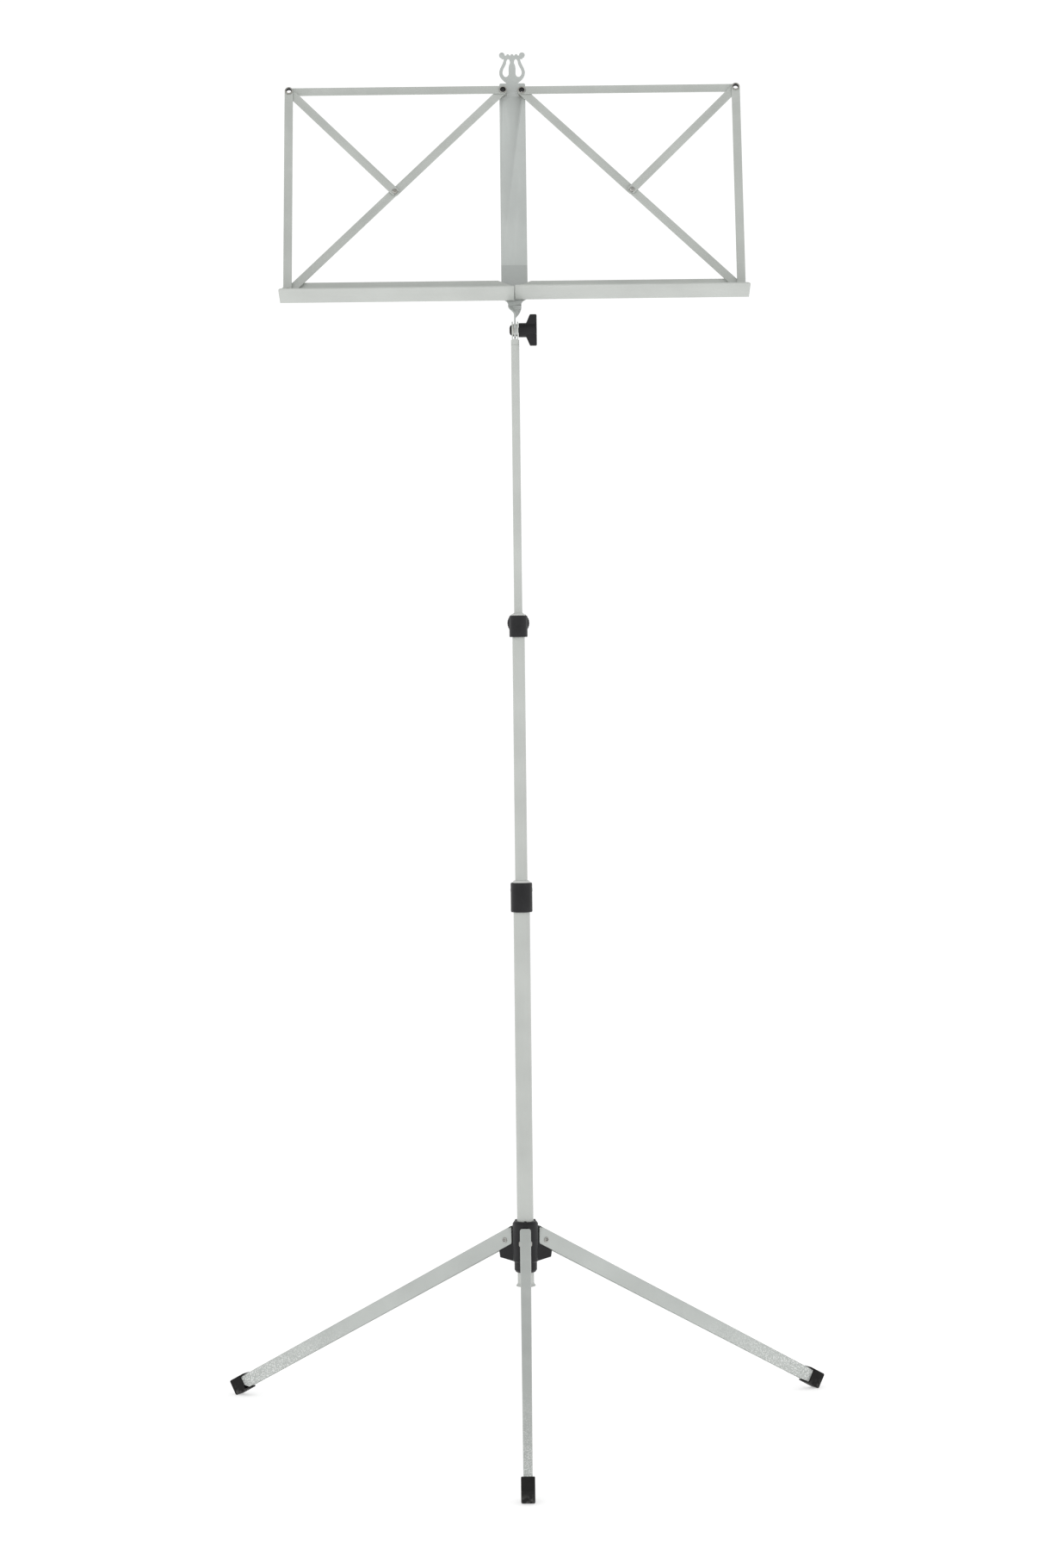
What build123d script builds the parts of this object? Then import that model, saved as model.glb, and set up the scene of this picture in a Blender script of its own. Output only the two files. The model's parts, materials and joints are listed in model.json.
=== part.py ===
"""Folding music stand: tripod base, three-section pole, tilt clamp and folding desk.

Millimetres, +Z up, the player stands on the -Y side. The origin is on the floor, under the
middle of the stand's footprint. The pole stands POLE_Y behind it, because one leg points forward.
"""
from build123d import *
from math import atan2, cos, degrees, hypot, radians, sin
import os

os.makedirs("parts", exist_ok=True)

# ---- fits -----------------------------------------------------------------------------------
RUN = 0.05            # radial clearance of a shaft or tube that moves in its hole
SEAT = 0.02           # radial clearance of a piece that is fixed in its hole
GAP = 0.3             # gap between flat faces of pieces that move past each other

# ---- legs and hub ---------------------------------------------------------------------------
LEG_AZIMUTHS = {"front": -90.0, "right": 30.0, "left": 150.0}
LEG_SLOPE = 28.6      # angle of a spread leg below the horizontal, degrees
LEG_FOLD = 90.0 - LEG_SLOPE
PIVOT_R = 20.4        # leg pivot, distance from the pole's axis
PIVOT_Z = 180.5
LEG_REACH = 367.0     # from the pivot to the end of the foot cap, along the leg
LEG_MID = 1.6         # the channel's centre line passes this far above the pivot
LEG_W = (10.6, 8.4)   # channel width at the hub and at the foot
LEG_D = (15.6, 13.2)  # channel depth at the hub and at the foot
LEG_WALL = 1.0
LEG_HEEL = 12.0       # the channel starts this far inboard of the pivot
HEEL_R = 7.7          # round heel about the pivot, which clears the hub as the leg folds
CAP_W = 12.7
CAP_D = 16.2
CAP_SIDE = 14.4       # length of the foot cap's side walls
CAP_TONGUE = 19.0     # length of its longer top and bottom tongues
CAP_END = 4.0         # rubber thickness beyond the end of the channel
CAP_TONGUE_T = 1.4
RIVET_R = 1.8
RIVET_HEAD_R = 2.6
RIVET_HEAD_T = 1.1
HUB_R = 12.4
HUB_SLEEVE_R = 11.0
HUB_Z = (150.4, 160.0, 197.6, 200.0)    # bottom, top of sleeve, shoulder, top
FIN_T = 7.6
FIN_R = 27.4          # outer radius of the hub's fins

# ---- pole -----------------------------------------------------------------------------------
LOWER_R, LOWER_BORE_R = 8.0, 7.0
MIDDLE_R, MIDDLE_BORE_R = 6.0, 5.0
UPPER_R, UPPER_BORE_R = 4.0, 3.0
LOWER_TUBE_Z = (136.3, 511.0)
FLARE_R, FLARE_H = 9.6, 3.0
MIDDLE_TUBE_Z = (385.0, 775.5)
UPPER_ROD_Z = (645.0, 1049.0)
BUSH_L = 20.0
BUSH_FLOOR = 1.8
LOWER_COLLAR = {"r": 10.4, "z": (501.2, 529.3), "top": 531.8, "screw_z": 521.2}
UPPER_COLLAR = {"r": 8.7, "z": (767.5, 787.6), "top": 790.4, "screw_z": 781.0}
CLAMP_BOSS_R = 5.2
CLAMP_SCREW_R = 2.5
CLAMP_KNOB_R = 10.8
CLAMP_KNOB_T = 8.0
PAD_T = 1.8

# ---- tilt clamp -----------------------------------------------------------------------------
TILT_Z = 1063.0       # height of the tilt axis, which runs along X through the pole's axis
EAR_R = 8.3
FORK_HALF = 3.15      # half the fork's outer width
EAR_T = 1.1
FORK_SLOT = 8.6       # depth of the slot below the tilt axis
BOLT_R = 2.5
BOLT_HEAD_R = 5.0
BOLT_HEAD_T = 2.2
BOLT_END_X = 14.0
WASHER_R = 6.0
KNOB_HUB_R = 6.9
KNOB_X = (FORK_HALF + GAP, 10.7, 14.4, 21.0)   # start, end of hub, start of wing, outer face
KNOB_WING = 15.0      # half the wing's span
KNOB_WING_T = 9.0
NUT_R = 4.2
NUT_L = 8.5

# ---- desk, in its own plane: x sideways, z up the desk from the tilt axis, y backwards --------
TILT = 19.0           # the desk leans back this far at rest, degrees
LEDGE_Z = 31.3        # underside of the right ledge above the tilt axis
PLATE_W = 25.4        # centre bar
PLATE_T = 1.5
STEP_BACK = 2.0       # the upper part of the centre bar lies this far behind the lower part
STEP_Z = (LEDGE_Z + 28.0, LEDGE_Z + 36.8)
SHOULDER_Z = LEDGE_Z + 232.0
TONGUE_W = 12.8
TWIST_Z = (LEDGE_Z - 16.0, LEDGE_Z - 6.0)
TWIST_STEPS = 12
BAR_W = 8.3
BAR_T = 1.0
LEDGE_T = 1.2
LEDGE_DEPTH = 33.0
FLANGE_H = 19.3
LEDGE_END_X = 226.4
LEFT_DROP = 1.6       # the left ledge passes in front of the right one and hangs a little lower
INNER_X = 0.3         # the ledges end this far from the middle
FLANGE_INNER_R = 8.9
PIVOT_X = 9.2         # pivots on the centre bar, each side of the middle
SPAN = 209.9          # length of a top bar and of a ledge, pivot to pivot
TOP_Z = LEDGE_Z + 221.2
LOW_Z = LEDGE_Z + 7.5
FOLD = 85.5           # each half of the desk folds up through this angle
EYE_R = 3.2           # eyelet shank
EYE_BORE_R = 2.6
EYE_HEAD_R = 3.95
EYE_HEAD_T = 0.8
STUD_R = 1.6          # knee stud
STUD_HEAD_R = 2.6
RIVET_SPACE = 0.7     # room behind the upper diagonal for the knee rivet's head


def turned(points):
    """A solid of revolution about Z from a closed outline of (radius, height) points."""
    return revolve(Plane.XZ * make_face(Polyline(*points, close=True)), axis=Axis.Z)


def tube(r_out, r_in, z0, z1):
    return turned([(r_in, z0), (r_out, z0), (r_out, z1), (r_in, z1)])


def rod(radius, z0, z1):
    return Pos(0, 0, (z0 + z1) / 2) * Cylinder(radius, z1 - z0)


def along_x(shape):
    """Turn a shape made along +Z so that it runs along +X."""
    return Rot(0, 90, 0) * shape


def along_y(shape):
    """Turn a shape made along +Z so that it runs along +Y."""
    return Rot(-90, 0, 0) * shape


def block(x0, x1, y0, y1, z0, z1):
    middle = Pos((x0 + x1) / 2, (y0 + y1) / 2, (z0 + z1) / 2)
    return middle * Box(x1 - x0, y1 - y0, z1 - z0)


def plate(sketch, back, thickness):
    """A flat plate with its outline in X and Z and its rear face at y = back."""
    return Pos(0, back, 0) * extrude(Plane.XZ * sketch, amount=thickness)


# ---- base -----------------------------------------------------------------------------------
def leg_frame():
    """The leg's own frame: +X outward and down along the leg, Z square to it, Y sideways."""
    return Pos(PIVOT_R, 0, PIVOT_Z) * Rot(0, LEG_SLOPE, 0)


def leg_section(s, width, depth, top):
    """A rectangle across the leg at s, which hangs down from the height top."""
    return Plane.YZ.offset(s) * Pos(0, top - depth / 2) * Rectangle(width, depth)


def leg_channel():
    end = LEG_REACH - CAP_END
    tops = [LEG_MID + depth / 2 for depth in LEG_D]
    outer = loft([leg_section(-LEG_HEEL, LEG_W[0], LEG_D[0], tops[0]),
                  leg_section(end, LEG_W[1], LEG_D[1], tops[1])])
    bends = [edge for edge in outer.edges() if edge.length > LEG_REACH / 2]
    outer = fillet(sorted(bends, key=lambda edge: edge.center().Z)[-2:], 1.4)
    inner_w = [width - 2 * LEG_WALL for width in LEG_W]
    inner = loft([leg_section(-LEG_HEEL - 1, inner_w[0], LEG_D[0] + 2, tops[0] - LEG_WALL),
                  leg_section(end + 1, inner_w[1], LEG_D[1] + 2, tops[1] - LEG_WALL)])
    leg = leg_frame() * (outer - inner)
    hub_face = HUB_R + 0.25
    leg -= block(-20, hub_face, -20, 20, PIVOT_Z - 40, PIVOT_Z + 60)
    heel = block(0, PIVOT_R, -20, 20, PIVOT_Z - 40, PIVOT_Z)
    pivot = Pos(PIVOT_R, 0, PIVOT_Z) * Rot(90, 0, 0)
    leg -= heel - pivot * Cylinder(HEEL_R, 60)
    return leg - pivot * Cylinder(RIVET_R + RUN, 60)


def foot_cap():
    low, high = LEG_MID - CAP_D / 2, LEG_MID + CAP_D / 2
    start = LEG_REACH - CAP_TONGUE
    cap = block(start, LEG_REACH, -CAP_W / 2, CAP_W / 2, low, high)
    cap = fillet(cap.edges().filter_by(Axis.X), 1.0)
    cap = fillet(cap.faces().sort_by(Axis.X)[-1].edges(), 2.2)
    side = block(start - 1, LEG_REACH - CAP_SIDE, -CAP_W, CAP_W,
                 low + CAP_TONGUE_T, high - CAP_TONGUE_T)
    end = LEG_REACH - CAP_END
    share = (end - CAP_TONGUE + LEG_HEEL) / (end + LEG_HEEL)
    wide = LEG_W[0] + (LEG_W[1] - LEG_W[0]) * share + 0.1
    deep = LEG_D[0] + (LEG_D[1] - LEG_D[0]) * share + 0.1
    pocket = block(start - 1, end + SEAT, -wide / 2, wide / 2, LEG_MID - deep / 2, LEG_MID + deep / 2)
    cap = leg_frame() * (cap - side - pocket)
    floor = block(0, 500, -20, 20, -20, 0)
    return cap - floor


def leg_rivet():
    """A solid rivet through the leg's two walls and the hub's fin, lying along Y."""
    face = LEG_W[0] / 2 + 0.1
    out = face + RIVET_HEAD_T
    points = [(0, -out), (RIVET_HEAD_R * 0.6, -out), (RIVET_HEAD_R, -face - 0.4),
              (RIVET_HEAD_R, -face), (RIVET_R, -face), (RIVET_R, face), (RIVET_HEAD_R, face),
              (RIVET_HEAD_R, face + 0.4), (RIVET_HEAD_R * 0.6, out), (0, out)]
    return Pos(PIVOT_R, 0, PIVOT_Z) * along_y(turned(points))


def leg_hub():
    bottom, sleeve, shoulder, top = HUB_Z
    bore = LOWER_R + RUN
    hub = turned([(bore, bottom), (HUB_SLEEVE_R - 1.4, bottom), (HUB_SLEEVE_R, bottom + 2.2),
                  (HUB_SLEEVE_R, sleeve), (HUB_R, sleeve + 1.4), (HUB_R, shoulder),
                  (HUB_R - 1.6, top), (bore, top)])
    nose = 7.0
    outline = [(HUB_R - 2, sleeve), (FIN_R - 0.8, sleeve + 3.0), (FIN_R, sleeve + 8.4),
               (FIN_R, PIVOT_Z), (FIN_R - 2.2, PIVOT_Z + 4.8), (PIVOT_R, PIVOT_Z + nose),
               (HUB_R - 2, PIVOT_Z + nose)]
    fin = extrude(Plane.XZ * make_face(Polyline(*outline, close=True)), amount=FIN_T / 2, both=True)
    fin -= Pos(PIVOT_R, 0, PIVOT_Z) * Rot(90, 0, 0) * Cylinder(RIVET_R + SEAT, 30)
    stud = Pos(HUB_R - 2.2, 0, 0) * rod(1.3, shoulder - 1, top + 0.8)
    for azimuth in LEG_AZIMUTHS.values():
        hub += Rot(0, 0, azimuth) * fin
        hub += Rot(0, 0, azimuth) * stud
    return hub


# ---- pole -----------------------------------------------------------------------------------
def lower_tube():
    low, high = LOWER_TUBE_Z
    flare_in = FLARE_R - LOWER_R + LOWER_BORE_R
    return turned([(flare_in, low), (FLARE_R, low), (FLARE_R, low + 0.8), (LOWER_R, low + FLARE_H),
                   (LOWER_R, high), (LOWER_BORE_R, high), (LOWER_BORE_R, low + FLARE_H)])


def collar(spec, outer_r, outer_top, inner_r):
    """A sleeve on the top of one tube which guides the next one, with a boss for its clamp."""
    low, high = spec["z"]
    radius, top = spec["r"], spec["top"]
    seat = outer_r + SEAT
    run = inner_r + RUN
    body = turned([(seat, low), (radius - 0.5, low), (radius, low + 0.5), (radius, high),
                   (inner_r + 1.6, top), (run, top), (run, outer_top + 0.1), (seat, outer_top + 0.1)])
    boss_end = radius + 3.0
    boss = Pos(0, 0, spec["screw_z"]) * along_y(rod(CLAMP_BOSS_R, inner_r + 1.5, boss_end))
    bore = Pos(0, 0, spec["screw_z"]) * along_y(rod(CLAMP_SCREW_R + RUN, 0, boss_end + 1))
    return body + boss - bore - rod(run, low - 1, top + 1) - rod(seat, low - 1, outer_top)


def clamp_pad(spec, inner_r):
    start = inner_r + 0.1
    return Pos(0, 0, spec["screw_z"]) * along_y(rod(CLAMP_SCREW_R, start, start + PAD_T))


def clamp_screw(spec, inner_r):
    start = inner_r + 0.1 + PAD_T + 0.1
    end = spec["r"] + 3.0 + GAP + CLAMP_KNOB_T - 2.0
    return Pos(0, 0, spec["screw_z"]) * along_y(rod(CLAMP_SCREW_R, start, end))


def clamp_knob(spec):
    start = spec["r"] + 3.0 + GAP
    end = start + CLAMP_KNOB_T
    rim = CLAMP_KNOB_R
    knob = turned([(0, start), (rim - 2.6, start), (rim, start + 2.0), (rim, end - 1.2),
                   (rim - 1.2, end), (0, end)])
    flute = Pos(rim + 1.0, 0, 0) * rod(1.7, start - 1, end + 1)
    for index in range(12):
        knob -= Rot(0, 0, 30 * index) * flute
    knob -= rod(CLAMP_SCREW_R + SEAT, start - 1, end - 2.0)
    return Pos(0, 0, spec["screw_z"]) * along_y(knob)


def guide_bush(outer_bore_r, inner_r, z):
    """A plastic cup round the foot of an inner tube, which slides in the tube outside it."""
    out = outer_bore_r - RUN
    return turned([(inner_r - 1.4, z - BUSH_FLOOR - 0.1), (out, z - BUSH_FLOOR - 0.1),
                   (out, z + BUSH_L), (inner_r + RUN, z + BUSH_L), (inner_r + RUN, z - 0.1),
                   (inner_r - 1.4, z - 0.1)])


# ---- tilt clamp -----------------------------------------------------------------------------
def tilt_fork():
    top = UPPER_ROD_Z[1]
    fork = rod(UPPER_BORE_R - SEAT, top - 14, top) + rod(UPPER_R, top, TILT_Z - FORK_SLOT - 0.8)
    fork += block(-FORK_HALF, FORK_HALF, -UPPER_R, UPPER_R, top + 1.5, TILT_Z)
    axle = Pos(0, 0, TILT_Z) * Rot(0, 90, 0)
    fork += axle * Cylinder(EAR_R, 2 * FORK_HALF)
    inner = FORK_HALF - EAR_T
    fork -= block(-inner, inner, -20, 20, TILT_Z - FORK_SLOT, TILT_Z + 20)
    return fork - axle * Cylinder(BOLT_R + SEAT, 30)


def tilt_bolt():
    head = -FORK_HALF - BOLT_HEAD_T
    bolt = turned([(0, head), (2.6, head), (4.3, head + 0.7), (BOLT_HEAD_R, -FORK_HALF - 0.5),
                   (BOLT_HEAD_R, -FORK_HALF), (BOLT_R, -FORK_HALF), (BOLT_R, BOLT_END_X - 0.6),
                   (BOLT_R - 0.6, BOLT_END_X), (0, BOLT_END_X)])
    return Pos(0, 0, TILT_Z) * along_x(bolt)


def tilt_washers():
    inner, outer = PLATE_T / 2 + 0.2, FORK_HALF - EAR_T
    pair = []
    for low, high in ((inner, outer), (-outer, -inner)):
        pair.append(Pos(0, 0, TILT_Z) * along_x(tube(WASHER_R, BOLT_R + SEAT, low, high)))
    return pair


def tilt_knob():
    start, hub_end, wing, face = KNOB_X
    knob = along_x(turned([(0, start), (KNOB_HUB_R - 0.5, start), (KNOB_HUB_R, start + 0.5),
                           (KNOB_HUB_R, face - 0.8), (KNOB_HUB_R - 0.8, face), (0, face)]))
    outline = [(hub_end, KNOB_HUB_R - 0.4), (wing, KNOB_WING), (face, KNOB_WING),
               (face, -KNOB_WING), (wing, -KNOB_WING), (hub_end, 0.4 - KNOB_HUB_R)]
    wings = extrude(Plane.XZ * make_face(Polyline(*outline, close=True)),
                    amount=KNOB_WING_T / 2, both=True)
    wings = fillet(wings.edges().filter_by(Axis.Y), 1.2)
    wings = chamfer(wings.faces().filter_by(Axis.Y).edges(), 0.8)
    knob += wings
    knob -= along_x(rod(NUT_R + SEAT, start - 1, start + NUT_L))
    knob -= along_x(rod(BOLT_R + 0.4, start, BOLT_END_X + 1))
    return Pos(0, 0, TILT_Z) * knob


def tilt_nut():
    start = KNOB_X[0] + 0.2
    return Pos(0, 0, TILT_Z) * along_x(tube(NUT_R, BOLT_R + RUN, start, start + NUT_L - 0.3))


# ---- desk: layers, from the centre bar's front face towards the player -------------------------
def desk_layers(side):
    """Rear faces of the flat pieces on one side, each in a layer of its own."""
    flange = -PLATE_T / 2 - 0.2
    if side < 0:
        flange -= LEDGE_T + GAP
    upper = flange - LEDGE_T - GAP - RIVET_SPACE
    pitch = BAR_T + GAP
    return {"flange": flange, "upper_diagonal": upper, "top_bar": upper - pitch,
            "stay": upper - 2 * pitch, "side_bar": upper - 3 * pitch}


def knee(side):
    """The pivots of one half at rest and the knee, set so that the knee also closes when folded."""
    top_in = (side * PIVOT_X, TOP_Z)
    low_in = (side * PIVOT_X, LOW_Z)
    top_out = (side * (PIVOT_X + SPAN), TOP_Z)
    low_out = (side * (PIVOT_X + SPAN), LOW_Z)
    rise = TOP_Z - LOW_Z
    whole = hypot(SPAN, rise)
    short = SPAN - rise * sin(radians(FOLD))
    aside = rise * cos(radians(FOLD))
    lower = (whole ** 2 - short ** 2 - aside ** 2) / (2 * (whole - short))
    share = lower / whole
    point = (low_out[0] + (top_in[0] - low_out[0]) * share, LOW_Z + rise * share)
    return {"top_in": top_in, "low_in": low_in, "top_out": top_out, "low_out": low_out,
            "knee": point, "lower": lower, "upper": whole - lower}


def fold_ratios():
    """Turns of the coupled bars for each degree that a ledge folds."""
    points = knee(1)
    rise = TOP_Z - LOW_Z
    diagonal = degrees(atan2(rise, SPAN))
    fold = radians(FOLD)
    low_out = (PIVOT_X + SPAN * cos(fold), LOW_Z + SPAN * sin(fold))
    share = points["lower"] / SPAN
    folded = (low_out[0] + (PIVOT_X - low_out[0]) * share, low_out[1] + (LOW_Z - low_out[1]) * share)
    end = degrees(atan2(folded[1] - TOP_Z, folded[0] - PIVOT_X))
    start = -degrees(atan2(TOP_Z - points["knee"][1], points["knee"][0] - PIVOT_X))
    stay = degrees(atan2(TOP_Z - points["knee"][1], points["top_out"][0] - points["knee"][0]))
    return {"upper_diagonal": (end - start) / FOLD, "lower_diagonal": diagonal / FOLD,
            "stay": -stay / FOLD}


def bar_outline(start, end, holes):
    """A strip with round ends between two points, with a hole of each radius at its ends."""
    length = hypot(end[0] - start[0], end[1] - start[1])
    angle = degrees(atan2(end[1] - start[1], end[0] - start[0]))
    middle = Pos((start[0] + end[0]) / 2, (start[1] + end[1]) / 2)
    outline = middle * Rot(0, 0, angle) * SlotCenterToCenter(length, BAR_W)
    for point, radius in zip((start, end), holes):
        if radius:
            outline -= Pos(*point) * Circle(radius)
    return outline


def top_bar(side):
    points = knee(side)
    holes = (EYE_R + RUN, EYE_R + SEAT)
    return plate(bar_outline(points["top_in"], points["top_out"], holes),
                 desk_layers(side)["top_bar"], BAR_T)


def side_bar(side):
    points = knee(side)
    holes = (EYE_R + RUN, EYE_R + RUN)
    return plate(bar_outline(points["top_out"], points["low_out"], holes),
                 desk_layers(side)["side_bar"], BAR_T)


def upper_diagonal(side):
    points = knee(side)
    holes = (EYE_R + RUN, STUD_R + SEAT)
    return plate(bar_outline(points["top_in"], points["knee"], holes),
                 desk_layers(side)["upper_diagonal"], BAR_T)


def lower_diagonal(side):
    points = knee(side)
    holes = (STUD_R + SEAT, EYE_R + RUN)
    return plate(bar_outline(points["knee"], points["low_out"], holes),
                 desk_layers(side)["top_bar"], BAR_T)


def stay(side):
    """The short bar from the top corner, with an open hook end that snaps over the knee stud."""
    points = knee(side)
    start, end = points["top_out"], points["knee"]
    outline = bar_outline(start, end, (EYE_R + RUN, 0))
    angle = degrees(atan2(end[1] - start[1], end[0] - start[0]))
    slot = STUD_R + 0.15
    mouth = make_face(Polyline((0, slot), (6, slot + 1.7), (6, -slot - 1.7), (0, -slot), close=True))
    hook = Pos(*end) * Rot(0, 0, angle) * (mouth + Circle(slot))
    return plate(outline - hook, desk_layers(side)["stay"], BAR_T)


def eyelet(point, back, front):
    """A hollow rivet along Y: back and front are the faces its two rolled heads lie on."""
    rear, fore = -back, -front
    points = [(EYE_BORE_R + 0.5, rear - EYE_HEAD_T), (EYE_HEAD_R - 0.5, rear - EYE_HEAD_T),
              (EYE_HEAD_R, rear - 0.3), (EYE_HEAD_R, rear), (EYE_R, rear), (EYE_R, fore),
              (EYE_HEAD_R, fore), (EYE_HEAD_R, fore + 0.3), (EYE_HEAD_R - 0.5, fore + EYE_HEAD_T),
              (EYE_BORE_R + 0.5, fore + EYE_HEAD_T), (EYE_BORE_R, fore + 0.3),
              (EYE_BORE_R, rear - 0.3)]
    return Pos(point[0], 0, point[1]) * Rot(90, 0, 0) * turned(points)


def spacer(point, back, front):
    ring = tube(EYE_HEAD_R, EYE_R + SEAT, -back, -front)
    return Pos(point[0], 0, point[1]) * Rot(90, 0, 0) * ring


def top_pivot_pieces(side):
    """Eyelet and spacer of the pivot at the top of the centre bar."""
    layers = desk_layers(side)
    point = knee(side)["top_in"]
    face = STEP_BACK - PLATE_T / 2
    front = layers["top_bar"] - BAR_T - 0.2
    return (eyelet(point, face + PLATE_T, front),
            spacer(point, face, layers["upper_diagonal"] + 0.2))


def ledge_pivot_eyelet(side):
    layers = desk_layers(side)
    return eyelet(knee(side)["low_in"], PLATE_T / 2, layers["flange"] - LEDGE_T - 0.2)


def ledge_pivot_spacer():
    """The washer which holds the left ledge in front of the right one."""
    return spacer(knee(-1)["low_in"], -PLATE_T / 2, desk_layers(-1)["flange"] + 0.2)


def corner_eyelet(side):
    layers = desk_layers(side)
    return eyelet(knee(side)["top_out"], layers["top_bar"], layers["side_bar"] - BAR_T - 0.2)


def ledge_end_pieces(side):
    """Eyelet and two washers where the side bar and lower diagonal meet the ledge."""
    layers = desk_layers(side)
    point = knee(side)["low_out"]
    between = layers["top_bar"] - BAR_T
    return [eyelet(point, layers["flange"], layers["side_bar"] - BAR_T - 0.2),
            spacer(point, layers["flange"] - LEDGE_T, layers["top_bar"] + 0.2),
            spacer(point, between - 0.2, layers["side_bar"] + 0.2)]


def knee_stud(side):
    """The headed stud in the lower diagonal, over which the stay hooks."""
    layers = desk_layers(side)
    point = knee(side)["knee"]
    back = -layers["top_bar"]
    front = -(layers["stay"] - BAR_T - 0.2)
    points = [(0, back), (STUD_R, back), (STUD_R, front), (STUD_HEAD_R, front),
              (STUD_HEAD_R, front + 0.4), (STUD_HEAD_R - 0.9, front + 0.9), (0, front + 0.9)]
    return Pos(point[0], 0, point[1]) * Rot(90, 0, 0) * turned(points)


def knee_rivet(side):
    """The rear half of the knee pivot, fixed in the upper diagonal."""
    layers = desk_layers(side)
    point = knee(side)["knee"]
    back = -layers["upper_diagonal"]
    points = [(0, back - 0.6), (STUD_HEAD_R - 0.8, back - 0.6), (STUD_HEAD_R, back - 0.2),
              (STUD_HEAD_R, back), (STUD_R, back), (STUD_R, back + BAR_T), (0, back + BAR_T)]
    return Pos(point[0], 0, point[1]) * Rot(90, 0, 0) * turned(points)


def ledge(side):
    """An L-shaped ledge: a flange that pivots on the centre bar and a shelf towards the player."""
    drop = LEFT_DROP if side < 0 else 0.0
    low, high = LEDGE_Z - drop, LEDGE_Z + FLANGE_H
    back = desk_layers(side)["flange"]
    outline = [(INNER_X, low), (LEDGE_END_X, low), (LEDGE_END_X, LOW_Z + 4),
               (LEDGE_END_X - 6, high), (16, high), (PIVOT_X, LOW_Z + FLANGE_INNER_R),
               (PIVOT_X - 4.5, LOW_Z + 7.6), (PIVOT_X - 7.6, LOW_Z + 4.5), (INNER_X, LOW_Z)]
    sketch = make_face(Polyline(*outline, close=True))
    sketch -= Pos(PIVOT_X, LOW_Z) * Circle(EYE_R + RUN)
    sketch -= Pos(PIVOT_X + SPAN, LOW_Z) * Circle(EYE_R + SEAT)
    flange = plate(sketch, back, LEDGE_T)
    shelf = block(INNER_X, LEDGE_END_X, back - LEDGE_DEPTH, back, low, low + LEDGE_T)
    front = shelf.edges().filter_by(Axis.Z).group_by(Axis.Y)[0].sort_by(Axis.X)
    shelf = fillet(front[-1], 4.0)
    shelf = fillet(shelf.edges().filter_by(Axis.Z).group_by(Axis.Y)[0].sort_by(Axis.X)[0], 1.5)
    whole = flange + shelf
    bend = whole.edges().filter_by(Axis.X).group_by(Axis.Z)[0].sort_by(Axis.Y)[-1]
    whole = fillet(bend, 1.0)
    return whole if side > 0 else mirror(whole, Plane.YZ)


def lyre():
    """The lyre on top of the centre bar: two curved arms, a crossbar with knobs and a stem."""
    base = SHOULDER_Z
    arm = [(6.0, 1.2), (9.2, 4.0), (12.1, 8.5), (12.6, 12.5), (11.3, 17.0), (8.9, 22.5), (8.0, 28.0)]
    right = Spline(*[(x, base + z) for x, z in arm])
    left = Spline(*[(-x, base + z) for x, z in reversed(arm)])
    top = Line((8.0, base + 28.0), (-8.0, base + 28.0))
    neck = Polyline((-6.0, base + 1.2), (-6.0, base - 3), (6.0, base - 3), (6.0, base + 1.2))
    shape = make_face([right, top, left, neck])
    shape += Pos(0, base + 28.6) * Rectangle(20.5, 3.4)
    for side in (1, -1):
        window = [(2.5, 25.6), (3.8, 27.0), (5.2, 25.4), (5.9, 22.0), (8.3, 16.4), (9.4, 12.2),
                  (8.7, 8.9), (6.4, 7.0), (4.2, 8.2), (3.4, 12.5), (2.8, 20.0)]
        shape -= make_face(Spline(*[(side * x, base + z) for x, z in window], periodic=True))
        shape += Pos(side * 9.9, base + 30.8) * Circle(2.8)
    for x in (-4.1, 0.0, 4.1):
        shape += Pos(x, base + 30.3) * Circle(1.5)
    return shape


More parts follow.
